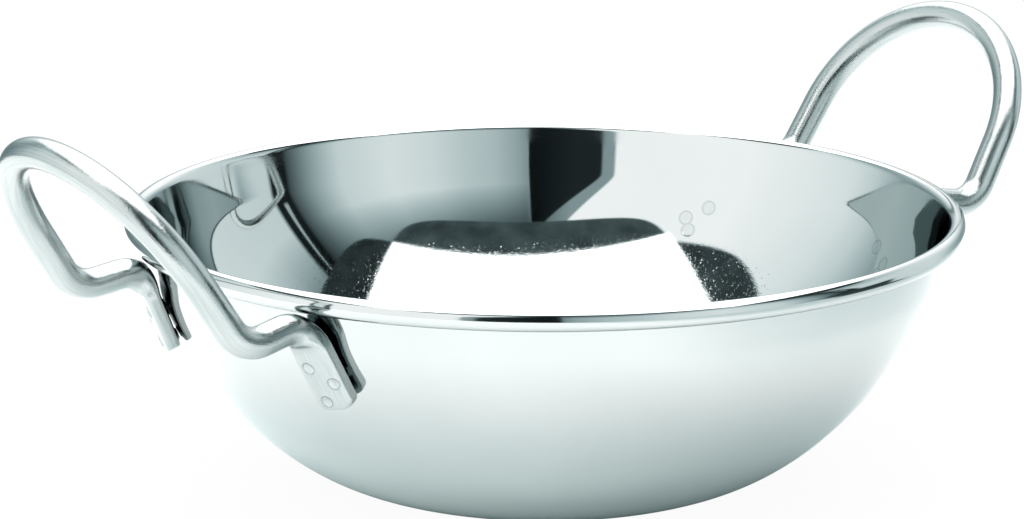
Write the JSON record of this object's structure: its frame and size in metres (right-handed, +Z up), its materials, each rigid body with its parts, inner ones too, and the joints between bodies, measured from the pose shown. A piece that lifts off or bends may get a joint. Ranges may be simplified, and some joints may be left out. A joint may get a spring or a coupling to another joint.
{
  "type": "balti dish",
  "caption": "Round-bottomed stainless-steel balti dish with a small flat base, a rolled rim and upright loop handles of bent rod spot welded under the rim, for cooking and serving.",
  "frame": {"origin": "middle of the flat base, on the table", "axes": "+Z up, +X from the bowl's axis to the right handle, +Y across the handles to the side that faces away in the picture"},
  "size_m": [0.2394, 0.17, 0.0836],
  "materials": {
    "polished_steel": "mirror polished stainless steel",
    "drawn_steel": "satin drawn stainless rod with lengthwise lines"
  },
  "bodies": {
    "root": {"bowl": "polished_steel", "handle_left": "drawn_steel", "handle_right": "drawn_steel"}
  },
  "joints": []
}
